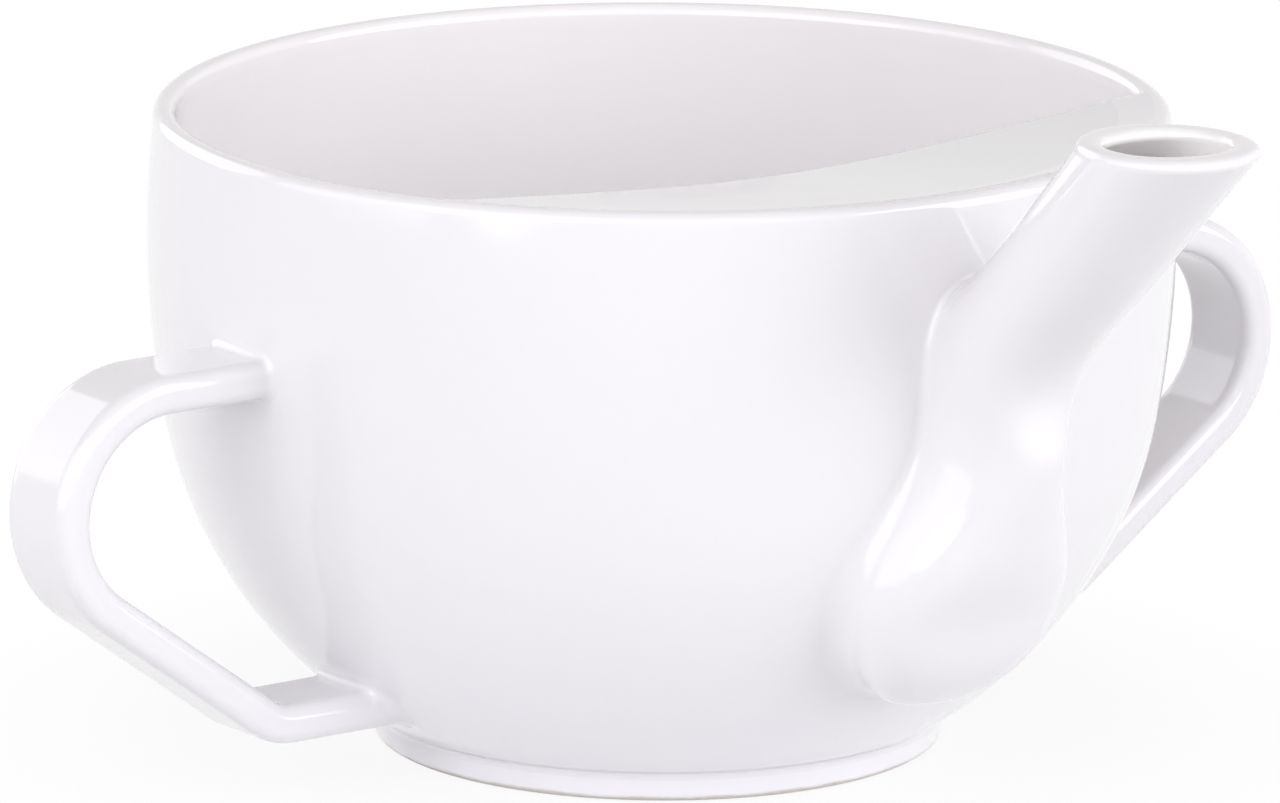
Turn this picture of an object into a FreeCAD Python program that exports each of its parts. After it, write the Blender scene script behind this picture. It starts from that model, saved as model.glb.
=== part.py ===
import FreeCAD, Part
import math
import os

# Invalid feeder in glazed porcelain, millimetres, +Z up.
# The origin is on the bowl axis in the plane that the foot stands on.
# The spout points along -Y and the two handles along +X and -X.

Vector = FreeCAD.Vector
axis_x = Vector(1, 0, 0)
axis_y = Vector(0, 1, 0)
axis_z = Vector(0, 0, 1)
origin = Vector(0, 0, 0)

# Bowl: two tangent arcs from the foot seat over the hip and belly to the lip
bowl_height = 62.7
belly_radius = 50.1
belly_height = 50.3
hip_radius = 48.6
hip_height = 33.0
base_radius = 28.6
wall_thickness = 2.2
floor_thickness = 3.0

# Foot ring
foot_height = 3.0
foot_radius = 27.9
foot_width = 3.6
foot_taper = 0.3
foot_bevel = 0.5
foot_slip_size = 0.8

# Half cover over the front of the mouth
cover_thickness = 2.2
cover_edge_offset = 20.0
cover_drop_at_lip = 0.5
cover_drop_at_edge = 3.2
cover_edge_round = 1.0
cover_slip_width = 3.0
cover_slip_angle = 70.0
cover_slip_set_back = 1.2
cover_under_slip = 1.3

# Spout: root lying on the wall, then a straight tube rising to a level mouth
mouth_height = 72.9
mouth_half_width = 8.3
tube_root_height = 43.8
tube_angle = 45.0
tube_half_depth = 6.3
tube_root_half_depth = 7.3
tube_lead = 9.1
neck_half_width = 6.2
neck_stand = 12.0
neck_drop = 3.9
neck_shares = (0.33, 0.62, 0.9)
bulb_half_width = 11.2
bulb_stand = 7.4
bulb_height = 24.0
tail_height = 12.8
tail_turns = (86, 66, 44, 22, 0)
tail_sink = 3.7
tail_fullness = 0.7
bulb_shoulder = 1.4
tube_shoulder = 0.75
spout_wall = 2.3
spout_slip_size = 0.8

# Hole in the wall that lets the drink into the spout root
pour_hole_diameter = 9.0
pour_hole_height = 20.5

# Slip seams: depth under the glaze line of their feet and of their hidden edge, how far
# the middle of their hollow face stands off the corner, and sections round a seam
slip_sink = 0.04
slip_root_depth = 0.16
slip_hollow = 0.27
spout_slip_steps = 70
handle_slip_steps = 36

# Strap handles
strap_width = 9.9
strap_thickness = 3.8
strap_edge_round = 1.4
handle_top_height = 42.6
handle_bend_radius = 11.4
handle_bend_centre = 60.3
handle_slope = 36.0
handle_foot_height = 8.3
handle_foot_bend = 5.5
upper_slip_size = 0.9
lower_slip_size = 1.6


def point(radius, height):
    return Vector(radius, 0, height)


def line(start, end):
    return Part.LineSegment(start, end).toShape()


def arc(start, middle, end):
    return Part.Arc(start, middle, end).toShape()


def revolved(edges):
    face = Part.Face(Part.Wire(edges))
    return face.revolve(origin, axis_z, 360)


# Upper arc of the wall: through the hip, upright at the belly
hip = point(hip_radius, hip_height)
belly = point(belly_radius, belly_height)
upper_arc_radius = (belly - hip).Length ** 2 / (2 * (belly_radius - hip_radius))
upper_centre = belly - axis_x * upper_arc_radius
hip_normal = (hip - upper_centre).normalize()

# Lower arc: tangent to the upper one at the hip, down to the foot seat
base = point(base_radius, foot_height)
lower_arc_radius = (hip - base).Length ** 2 / (2 * (hip - base).dot(hip_normal))
lower_centre = hip - hip_normal * lower_arc_radius

# Inner lower arc: tangent to the inside of the upper wall and to the level floor
floor_level = foot_height + floor_thickness
inner_hip = hip - hip_normal * wall_thickness
inner_arc_radius = (inner_hip.z - floor_level) / (1 + hip_normal.z)
inner_centre = inner_hip - hip_normal * inner_arc_radius
floor_edge = point(inner_centre.x, floor_level)

lip_round = wall_thickness / 2
lip_level = bowl_height - lip_round


def on_arc(centre, radius, height):
    """Place on the outward side of an arc at a height."""
    rise = height - centre.z
    return point(centre.x + math.sqrt(radius ** 2 - rise ** 2), height)


def on_wall(height):
    """Place on the outside of the wall at a height, and the unit normal there."""
    if height > hip_height:
        place = on_arc(upper_centre, upper_arc_radius, height)
        return place, (place - upper_centre).normalize()
    place = on_arc(lower_centre, lower_arc_radius, height)
    return place, (place - lower_centre).normalize()


def inner_wall(height):
    return on_arc(upper_centre, upper_arc_radius - wall_thickness, height)


def outside_edges():
    lip = on_wall(lip_level)[0]
    turn = ((base - lower_centre).normalize() + hip_normal).normalize()
    low_middle = lower_centre + turn * lower_arc_radius
    upper_middle = on_wall((hip_height + lip_level) / 2)[0]
    return [arc(base, low_middle, hip), arc(hip, upper_middle, lip)]


def inside_edges():
    turn = (hip_normal - axis_z).normalize()
    low_middle = inner_centre + turn * inner_arc_radius
    lip = inner_wall(lip_level)
    upper_middle = inner_wall((inner_hip.z + lip_level) / 2)
    return [arc(lip, upper_middle, inner_hip), arc(inner_hip, low_middle, floor_edge)]


def bowl_outer_solid():
    """The bowl as if it were solid, used to seat what is stuck on its outside."""
    top = point(0, lip_level)
    foot = point(0, foot_height)
    lip = on_wall(lip_level)[0]
    return revolved([line(foot, base)] + outside_edges() + [line(lip, top), line(top, foot)])


def bowl_inner_space():
    """The room inside the wall, up to the top of the lip."""
    rim = point(inner_wall(lip_level).x, bowl_height)
    top = point(0, bowl_height)
    floor = point(0, floor_level)
    wall = inside_edges()
    return revolved([line(rim, inner_wall(lip_level))] + wall + [
        line(floor_edge, floor),
        line(floor, top),
        line(top, rim),
    ])


def to_front(vector):
    """Turns a point or direction of the X-Z plane to the front of the bowl, at -Y."""
    return Vector(0, -vector.x, vector.z)


def pour_hole():
    place, normal = on_wall(pour_hole_height)
    start = place - normal * 2 * wall_thickness
    return Part.makeCylinder(pour_hole_diameter / 2, 4 * wall_thickness, to_front(start), to_front(normal))


def bowl():
    """Wall, bead lip and floor turned about the axis, with the hole to the spout."""
    foot = point(0, foot_height)
    floor = point(0, floor_level)
    outer_lip = on_wall(lip_level)[0]
    inner_lip = inner_wall(lip_level)
    crest = point((outer_lip.x + inner_lip.x) / 2, bowl_height)
    section = [line(foot, base)] + outside_edges() + [arc(outer_lip, crest, inner_lip)]
    section += inside_edges() + [line(floor_edge, floor), line(floor, foot)]
    return revolved(section).cut(pour_hole())


def foot_ring():
    """Turned ring, slightly wider at the top, with both bearing corners bevelled."""
    outer_top = point(foot_radius + foot_taper, foot_height)
    inner_top = point(foot_radius - foot_width - foot_taper, foot_height)
    corners = [
        point(foot_radius - foot_width + foot_bevel, 0),
        point(foot_radius - foot_bevel, 0),
        point(foot_radius, foot_bevel),
        outer_top,
        inner_top,
        point(foot_radius - foot_width, foot_bevel),
    ]
    return Part.Face(Part.makePolygon(corners + corners[:1])).revolve(origin, axis_z, 360)


def foot_slip():
    """Slip in the corners between the foot ring and the underside of the bowl."""
    lean = foot_taper * foot_slip_size / (foot_height - foot_bevel)
    outer_top = point(foot_radius + foot_taper, foot_height)
    inner_top = point(foot_radius - foot_width - foot_taper, foot_height)
    beads = []
    for corner, low_x, end_x in (
        (outer_top, outer_top.x - lean, base_radius),
        (inner_top, inner_top.x + lean, inner_top.x - foot_slip_size),
    ):
        low = point(low_x, foot_height - foot_slip_size)
        end = point(end_x, foot_height)
        beads.append(revolved([line(corner, low), line(low, end), line(end, corner)]))
    return Part.makeCompound(beads)


# Top of the cover: a shallow cone that falls from the lip to the free edge
cover_rim_radius = inner_wall(lip_level).x
cover_rim_level = bowl_height - cover_drop_at_lip
cover_edge_level = bowl_height - cover_drop_at_edge
cover_fall = (cover_rim_level - cover_edge_level) / (cover_rim_radius - cover_edge_offset)


def cover_level(radius):
    return cover_edge_level + cover_fall * (radius - cover_edge_offset)


def front_block(set_back=0):
    """Everything in front of the free edge of the cover, or of a line set back from it."""
    reach = 2 * belly_radius
    corner = Vector(-reach, -cover_edge_offset - set_back - reach, 0)
    return Part.makeBox(2 * reach, reach, 2 * bowl_height, corner)


def half_cover(inner_space):
    """Dished plate cut off straight, its free edge rounded, trimmed to the inside of the wall."""
    rim = belly_radius + wall_thickness
    corners = [
        point(0, cover_level(0)),
        point(0, cover_level(0) - cover_thickness),
        point(rim, cover_level(rim) - cover_thickness),
        point(rim, cover_level(rim)),
    ]
    plate = Part.Face(Part.makePolygon(corners + corners[:1])).revolve(origin, axis_z, 360)
    plate = plate.common(front_block())
    free_edges = []
    for edge in plate.Edges:
        box = edge.BoundBox
        if box.YMin > -cover_edge_offset - 0.01 and box.XLength > belly_radius:
            free_edges.append(edge)
    plate = plate.makeFillet(cover_edge_round, free_edges)
    return plate.common(inner_space)


def cover_slip():
    """Slip in the corners where the cover meets the lip above and the wall below."""
    lip_corner = point(cover_rim_radius, lip_level)
    rim_top = point(cover_rim_radius, cover_rim_level)
    top_end = point(cover_rim_radius - cover_slip_width, cover_level(cover_rim_radius - cover_slip_width))
    lip_middle = point(cover_rim_radius + lip_round, lip_level)

    def on_lip(climb):
        turn = math.radians(climb)
        return lip_middle + point(-math.cos(turn), math.sin(turn)) * lip_round

    above = revolved([
        line(lip_corner, rim_top),
        line(rim_top, top_end),
        line(top_end, on_lip(cover_slip_angle)),
        arc(on_lip(cover_slip_angle), on_lip(cover_slip_angle / 2), lip_corner),
    ])
    corner = inner_wall(cover_rim_level - cover_thickness)
    under_end = point(corner.x - cover_under_slip, corner.z - cover_fall * cover_under_slip)
    low_end = inner_wall(corner.z - cover_under_slip)
    wall_middle = inner_wall(corner.z - cover_under_slip / 2)
    under = revolved([line(corner, under_end), line(under_end, low_end), arc(low_end, wall_middle, corner)])
    block = front_block(cover_slip_set_back)
    return Part.makeCompound([above.common(block), under.common(block)])


# Tube: its axis leaves the wall at the root height and ends in the middle of the mouth
tube_rise = math.radians(tube_angle)
tube_length = (mouth_height - tube_root_height) / math.sin(tube_rise)
mouth_reach = on_wall(tube_root_height)[0].x + tube_length * math.cos(tube_rise)


def squared_ring(centre, side, half_width, half_depth, shoulder):
    """Closed curve of four conic quarters; a shoulder of 0.707 gives an ellipse, more a boxier ring."""
    across = axis_x * half_width
    out = side * half_depth
    ends = [centre + across, centre + out, centre - across, centre - out]
    corners = [centre + across + out, centre - across + out, centre - across - out, centre + across - out]
    quarters = []
    for turn in range(4):
        quarter = Part.BezierCurve()
        quarter.setPoles([ends[turn], corners[turn], ends[(turn + 1) % 4]])
        quarter.setWeight(2, shoulder)
        quarters.append(quarter.toShape())
    return Part.Wire(quarters)


def spout_sections(inset):
    """Sections of the spout from the tail of its root to past the mouth, set in by a wall."""
    rings = []
    bottom = tail_height + inset
    for angle in tail_turns:
        narrow = math.cos(math.radians(angle))
        height = bulb_height - (bulb_height - bottom) * math.sin(math.radians(angle))
        place, normal = on_wall(height)
        centre = place - normal * tail_sink * (1 - narrow) ** 2
        stand = (bulb_stand - inset) * narrow ** tail_fullness
        half_width = (bulb_half_width - inset) * narrow
        rings.append(squared_ring(to_front(centre), to_front(normal), half_width, stand, bulb_shoulder))
    neck_height = tube_root_height - neck_drop
    for share in neck_shares:
        height = bulb_height + (neck_height - bulb_height) * share
        place, normal = on_wall(height)
        ease = (1 - math.cos(math.pi * share)) / 2
        half_width = bulb_half_width + (neck_half_width - bulb_half_width) * ease - inset
        stand = bulb_stand + (neck_stand - bulb_stand) * share - inset
        shoulder = bulb_shoulder + (tube_shoulder - bulb_shoulder) * share
        rings.append(squared_ring(to_front(place), to_front(normal), half_width, stand, shoulder))
    along = point(-math.cos(tube_rise), -math.sin(tube_rise))
    side = point(math.sin(tube_rise), -math.cos(tube_rise))
    mouth = point(mouth_reach, mouth_height)
    root_distance = tube_length - tube_lead
    for distance in (root_distance, tube_length / 2, 0, -2 * tube_half_depth):
        flare = (mouth_half_width - neck_half_width) * (1 - distance / tube_length)
        half_width = neck_half_width + flare - inset
        half_depth = tube_root_half_depth if distance == root_distance else tube_half_depth
        centre = to_front(mouth + along * distance)
        rings.append(squared_ring(centre, to_front(side), half_width, half_depth - inset, tube_shoulder))
    return rings


def spout_outer():
    body = Part.makeLoft(spout_sections(0), True, False)
    reach = 2 * mouth_reach
    above = Part.makeBox(reach, reach, reach, Vector(-reach / 2, -reach, mouth_height))
    return body.cut(above)


def spout(bowl_solid):
    """Hollow spout seated on the wall: outer loft less the bore, cut level at the mouth."""
    body = spout_outer().cut(bowl_solid)
    bore = Part.makeLoft(spout_sections(spout_wall), True, False)
    return body.cut(bore)


def surface_normal(shape, place):
    """Outward unit normal of the face of a shape that passes through a place."""
    spot = Part.Vertex(place)
    face = min(shape.Faces, key=lambda each: spot.distToShape(each)[0])
    u, v = face.Surface.parameter(place)
    return face.normalAt(u, v)


def slip_section(place, along, base_normal, piece_normal, size):
    """Corners of a hollow wedge across a seam: foot on the base, hollow, foot on the piece, root."""
    base_side = along.cross(base_normal).normalize()
    piece_side = along.cross(piece_normal).normalize()
    if base_side.dot(piece_normal) < 0:
        base_side = base_side * -1
    if piece_side.dot(base_normal) < 0:
        piece_side = piece_side * -1
    base_foot = place + base_side * size - base_normal * slip_sink
    piece_foot = place + piece_side * size - piece_normal * slip_sink
    hollow = place + (base_side + piece_side) * size * slip_hollow
    root = place - (base_normal + piece_normal) * slip_root_depth
    return [base_foot, hollow, piece_foot, root]


def seam_loops(base, piece):
    """Closed curves where the skins of a base and a piece meet, lowest first."""
    edges = base.Shells[0].section(piece.Shells[0]).Edges
    loops = [Part.Wire(chain) for chain in Part.sortEdges(edges)]
    return sorted(loops, key=lambda loop: loop.CenterOfMass.z)


def ring_of_flats(sections):
    """Closed ring through sections of equal corner counts, two flat triangles to each strip."""
    flats = []
    for step, section in enumerate(sections):
        before = sections[step - 1]
        for corner in range(len(section)):
            a, b = before[corner - 1], before[corner]
            c, d = section[corner], section[corner - 1]
            flats.append(Part.Face(Part.makePolygon([a, b, c, a])))
            flats.append(Part.Face(Part.makePolygon([a, c, d, a])))
    ring = Part.Solid(Part.Shell(flats))
    if ring.Volume < 0:
        ring.reverse()
    return ring


def corner_slip(base, piece, seam, size, steps):
    """Slip wiped round a seam where a piece stands on a base, in flats from step to step."""
    places = seam.discretize(Number=steps + 1)[:-1]
    sections = []
    for step in range(steps):
        along = (places[(step + 1) % steps] - places[step - 1]).normalize()
        base_normal = surface_normal(base, places[step])
        piece_normal = surface_normal(piece, places[step])
        sections.append(slip_section(places[step], along, base_normal, piece_normal, size))
    return ring_of_flats(sections).cut(base).cut(piece)


def handle_path():
    """Centre line: level from the wall, round bend, straight slope, level into the wall."""
    slope = math.radians(handle_slope)
    centre = point(handle_bend_centre, handle_top_height - handle_bend_radius)
    side = Vector(math.sin(slope), 0, -math.cos(slope))
    bend_end = centre + side * handle_bend_radius
    bend_top = point(centre.x, handle_top_height)
    halfway = slope / 2
    bend_middle = centre + Vector(math.cos(halfway), 0, math.sin(halfway)) * handle_bend_radius
    corner_x = bend_end.x - (bend_end.z - handle_foot_height) / math.tan(slope)
    cut_back = handle_foot_bend * math.tan(slope / 2)
    foot_start = point(corner_x + cut_back * math.cos(slope), handle_foot_height + cut_back * math.sin(slope))
    foot_end = point(corner_x - cut_back, handle_foot_height)
    foot_centre = point(foot_end.x, handle_foot_height + handle_foot_bend)
    foot_middle = foot_centre + Vector(math.sin(slope / 2), 0, -math.cos(slope / 2)) * handle_foot_bend
    upper_wall = on_wall(handle_top_height)[0]
    lower_wall = on_wall(handle_foot_height)[0]
    start = point(upper_wall.x - strap_thickness, handle_top_height)
    end = point(lower_wall.x - 2 * strap_thickness, handle_foot_height)
    return Part.Wire([
        Part.LineSegment(start, bend_top).toShape(),
        Part.Arc(bend_top, bend_middle, bend_end).toShape(),
        Part.LineSegment(bend_end, foot_start).toShape(),
        Part.Arc(foot_start, foot_middle, foot_end).toShape(),
        Part.LineSegment(foot_end, end).toShape(),
    ])


def strap_section(centre):
    """Outline of the strap, square to X: a rectangle with round corners."""
    half_width = strap_width / 2
    half_depth = strap_thickness / 2
    flat = half_width - strap_edge_round
    side = half_depth - strap_edge_round
    bulge = strap_edge_round * math.sqrt(0.5)
    edges = []
    for turn in range(4):
        spin = FreeCAD.Rotation(axis_x, 90 * turn)
        long_side = turn % 2 == 0
        reach = half_depth if long_side else half_width
        run = flat if long_side else side
        drop = side if long_side else flat
        start = centre + spin.multVec(Vector(0, -run, reach))
        end = centre + spin.multVec(Vector(0, run, reach))
        edges.append(Part.LineSegment(end, start).toShape())
        middle = centre + spin.multVec(Vector(0, -run - bulge, drop + bulge))
        corner_end = centre + spin.multVec(Vector(0, -run - strap_edge_round, drop))
        edges.append(Part.Arc(start, middle, corner_end).toShape())
    return Part.Wire(edges)


def strap():
    """Round-edged strap of the +X side, carried along its centre line into the wall."""
    path = handle_path()
    pipe = Part.BRepOffsetAPI.MakePipeShell(path)
    pipe.setBiNormalMode(axis_y)
    pipe.add(strap_section(path.Vertexes[0].Point))
    pipe.build()
    pipe.makeSolid()
    return pipe.shape()


def only_solids(shape):
    """The solids of a cut, without the wrapper that a cut leaves round them."""
    solids = shape.Solids
    return solids[0] if len(solids) == 1 else Part.makeCompound(solids)


def build():
    outer_solid = bowl_outer_solid()
    spout_skin = spout_outer()
    handle = strap()
    spout_seam = seam_loops(outer_solid, spout_skin)[0]
    lower_seam, upper_seam = seam_loops(outer_solid, handle)
    right = {
        "handle": handle.cut(outer_solid),
        "handle_upper_slip": corner_slip(
            outer_solid, handle, upper_seam, upper_slip_size, handle_slip_steps
        ),
        "handle_lower_slip": corner_slip(
            outer_solid, handle, lower_seam, lower_slip_size, handle_slip_steps
        ),
    }
    nodes = {
        "bowl": bowl(),
        "foot_ring": foot_ring(),
        "foot_slip": foot_slip(),
        "half_cover": half_cover(bowl_inner_space()),
        "cover_slip": cover_slip(),
        "spout": spout(outer_solid),
        "spout_slip": corner_slip(
            outer_solid, spout_skin, spout_seam, spout_slip_size, spout_slip_steps
        ),
    }
    for name, shape in right.items():
        nodes["right_" + name] = shape
        nodes["left_" + name] = shape.mirror(origin, axis_x)
    return nodes


os.makedirs("parts", exist_ok=True)
for name, shape in build().items():
    only_solids(shape).exportStep("parts/" + name + ".step")
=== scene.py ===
# Invalid feeder in white glazed porcelain, dressed over its CAD frame.
# Lengths are millimetres until a mesh is made: +Z up, the spout towards -Y, handles along X.
import bmesh
import bpy
import math
import numpy as np
from mathutils import Matrix, Vector


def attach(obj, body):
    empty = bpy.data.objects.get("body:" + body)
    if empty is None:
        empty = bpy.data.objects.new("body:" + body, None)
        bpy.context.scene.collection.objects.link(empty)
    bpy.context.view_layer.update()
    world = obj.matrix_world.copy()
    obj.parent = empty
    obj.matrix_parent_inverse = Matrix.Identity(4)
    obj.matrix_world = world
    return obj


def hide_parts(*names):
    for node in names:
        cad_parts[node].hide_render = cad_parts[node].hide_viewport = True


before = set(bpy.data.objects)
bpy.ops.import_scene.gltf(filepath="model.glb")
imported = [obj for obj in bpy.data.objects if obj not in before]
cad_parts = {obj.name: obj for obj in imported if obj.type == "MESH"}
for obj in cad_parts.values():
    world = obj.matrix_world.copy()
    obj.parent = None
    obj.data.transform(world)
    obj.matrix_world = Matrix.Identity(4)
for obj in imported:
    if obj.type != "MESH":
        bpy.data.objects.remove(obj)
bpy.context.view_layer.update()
print("frame loaded")

millimetre = 0.001
mergeDistance = 0.000001
glassIndex = 1.5
# degrees between faces from which an edge stays sharp, on most pieces and on the soft ones
sharpAngle = 50.0
softAngle = 60.0


def gridFaces(rows, columns, closeColumns=False):
    # cell (i, j) joins the points (i, j), (i, j+1), (i+1, j+1), (i+1, j) of a rows by columns grid
    i = np.arange(rows - 1)[:, None]
    j = np.arange(columns if closeColumns else columns - 1)[None, :]
    k = (j + 1) % columns
    corners = [i * columns + j, i * columns + k, (i + 1) * columns + k, (i + 1) * columns + j]
    return np.stack(corners, axis=-1).reshape(-1, 4)


def signedVolume(points, faces):
    # a sixth of the sum of a . (b x c) over the two triangles of every quad
    a, b, c, d = (points[faces[:, n]] for n in range(4))
    return (a * (np.cross(b, c) + np.cross(c, d))).sum() / 6


def makePiece(name, points, faces, node, material, edgeAngle=sharpAngle, paintedLightShare=None):
    # a closed skin of quads: turned outwards where its volume is negative, doubles merged, shaded
    # smooth; the painted-light mask holds 1 for the points that face the drink and 0 for the rest
    points = np.asarray(points, dtype=float).reshape(-1, 3)
    if signedVolume(points, faces) < 0:
        faces = faces[:, ::-1]
    used, faces = np.unique(faces, return_inverse=True)
    faces = faces.reshape(-1, 4)
    mesh = bpy.data.meshes.new(name)
    mesh.from_pydata((points[used] * millimetre).tolist(), [], faces.tolist())
    piece = bpy.data.objects.new(name, mesh)
    bpy.context.collection.objects.link(piece)
    if paintedLightShare is not None:
        mask = mesh.attributes.new("paintedLightShare", "FLOAT", "POINT")
        mask.data.foreach_set("value", paintedLightShare.reshape(-1)[used].astype(np.float32))
    work = bmesh.new()
    work.from_mesh(mesh)
    bmesh.ops.remove_doubles(work, verts=work.verts, dist=mergeDistance)
    work.to_mesh(mesh)
    work.free()
    mesh.polygons.foreach_set("use_smooth", np.ones(len(mesh.polygons), dtype=bool))
    mesh.set_sharp_from_angle(angle=math.radians(edgeAngle))
    mesh.materials.append(material)
    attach(piece, "root")
    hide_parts(node)


def turned(profile, angles):
    # every (radius, height) of the profile is carried round Z: (r cos a, r sin a, z)
    radius, height = profile[:, 0:1], profile[:, 1:2]
    x, y = radius * np.cos(angles), radius * np.sin(angles)
    return np.stack([x, y, height + 0 * angles], axis=-1)


def arcPoints(centre, radius, startAngle, endAngle, count):
    # centre + radius (cos a, sin a) with a going evenly from start to end
    a = np.linspace(startAngle, endAngle, count)
    return np.stack([centre[0] + radius * np.cos(a), centre[1] + radius * np.sin(a)], axis=-1)


def bezier(p0, p1, p2, p3, count):
    # cubic blend (1-t)^3 p0 + 3t(1-t)^2 p1 + 3t^2(1-t) p2 + t^3 p3 along a new first axis
    t = np.linspace(0.0, 1.0, count).reshape((-1,) + (1,) * np.ndim(p0))
    return (1 - t) ** 3 * p0 + 3 * t * (1 - t) ** 2 * p1 + 3 * t**2 * (1 - t) * p2 + t**3 * p3


def unit(vectors):
    return vectors / np.linalg.norm(vectors, axis=-1, keepdims=True)


def smoothThrough(knots, values, at):
    # natural cubic spline: the second slopes m solve the tridiagonal rows
    # h0 m0 + 2(h0+h1) m1 + h1 m2 = 6(d1 - d0), and each span is the usual cubic of its two ends
    h = np.diff(knots)
    n = len(knots)
    rows = np.eye(n)
    right = np.zeros((n, values.shape[1]))
    k = np.arange(1, n - 1)
    rows[k, k - 1], rows[k, k], rows[k, k + 1] = h[:-1], 2 * (h[:-1] + h[1:]), h[1:]
    right[1:-1] = 6 * np.diff(np.diff(values, axis=0) / h[:, None], axis=0)
    m = np.linalg.solve(rows, right)
    span = np.clip(np.searchsorted(knots, at) - 1, 0, n - 2)
    width = h[span][..., None]
    a = (knots[span + 1] - at)[..., None] / width
    b = 1 - a
    bend = ((a**3 - a) * m[span] + (b**3 - b) * m[span + 1]) * width**2 / 6
    return a * values[span] + b * values[span + 1] + bend


glazeLook = {
    "wallCool": (0.845, 0.841, 0.868, 1.0),
    "wallWarm": (0.858, 0.84, 0.858, 1.0),
    # painted shade: the cover's colours are darker than the wall's, standing in for the weaker
    # light on its upward face
    "coverPaintedShadeCool": (0.79, 0.787, 0.815, 1.0),
    "coverPaintedShadeWarm": (0.80, 0.785, 0.80, 1.0),
    # painted light: a paler colour for the inner walls of the bowl, standing in for the light there
    "paintedInsideLight": (0.965, 0.946, 0.956, 1.0),
    # painted light: an even paler colour for the spout's bore, standing in for the light inside it
    "paintedBoreLight": (0.985, 0.97, 0.97, 1.0),
    "speckColour": (0.42, 0.33, 0.27, 1.0),
    "roughness": (0.07, 0.14),
    "coat": 0.5,
    "coatRoughness": 0.03,
    "cloudScale": 34.0,
    # heights in metres, as the bump nodes take them
    "rippleHeight": 0.00012,
    "rippleScale": 48.0,
    "rippleDetail": 1.5,
    "rippleSquash": (1.0, 1.0, 3.0),
    "throwingHeight": 0.00001,
    "throwingScale": 420.0,
    "throwingSquash": (0.07, 0.07, 1.0),
    "speckCount": 95.0,
    "speckReach": 0.028,
    "speckLimit": 0.93,
    "bareClay": (0.74, 0.71, 0.67, 1.0),
    "bareClayDark": (0.60, 0.56, 0.52, 1.0),
    "bareHeight": 0.0007,
    "bareFade": 1.4,  # the glaze is whole at this many bare heights
    "wanderScale": 260.0,
    "grainScale": 1400.0,
    "grainDetail": 3.0,
    "bareRoughness": 0.65,
}


def addGroup(name, inputs, outputs):
    group = bpy.data.node_groups.new(name, "ShaderNodeTree")
    for label, kind, value in inputs:
        socket = group.interface.new_socket(name=label, in_out="INPUT", socket_type=kind)
        if value is not None:
            socket.default_value = value
    for label, kind in outputs:
        group.interface.new_socket(name=label, in_out="OUTPUT", socket_type=kind)
    return group, group.nodes.new("NodeGroupInput"), group.nodes.new("NodeGroupOutput")


def mixed(nodes, links, factor, first, second):
    # colour mix of two sockets or constants by a factor socket
    mix = nodes.new("ShaderNodeMix")
    mix.data_type = "RGBA"
    links.new(factor, mix.inputs["Factor"])
    for socket, value in (("A", first), ("B", second)):
        if isinstance(value, tuple):
            mix.inputs[socket].default_value = value
        else:
            links.new(value, mix.inputs[socket])
    return mix.outputs["Result"]


def calculated(nodes, links, operation, first, second):
    # one math node; the second operand is a constant or a socket
    node = nodes.new("ShaderNodeMath")
    node.operation = operation
    links.new(first, node.inputs[0])
    if isinstance(second, float):
        node.inputs[1].default_value = second
    else:
        links.new(second, node.inputs[1])
    return node.outputs[0]


def noise(nodes, links, place, scale, detail=2.0):
    node = nodes.new("ShaderNodeTexNoise")
    node.inputs["Scale"].default_value = scale
    node.inputs["Detail"].default_value = detail
    links.new(place, node.inputs["Vector"])
    return node.outputs["Fac"]


def squashed(nodes, links, place, scale):
    node = nodes.new("ShaderNodeMapping")
    node.inputs["Scale"].default_value = scale
    links.new(place, node.inputs["Vector"])
    return node.outputs["Vector"]


def ranged(nodes, links, value, old, new, interpolation="LINEAR"):
    # carries the old range of a socket to the new one
    node = nodes.new("ShaderNodeMapRange")
    node.interpolation_type = interpolation
    node.inputs["From Min"].default_value, node.inputs["From Max"].default_value = old
    node.inputs["To Min"].default_value, node.inputs["To Max"].default_value = new
    links.new(value, node.inputs["Value"])
    return node.outputs["Result"]


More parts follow.
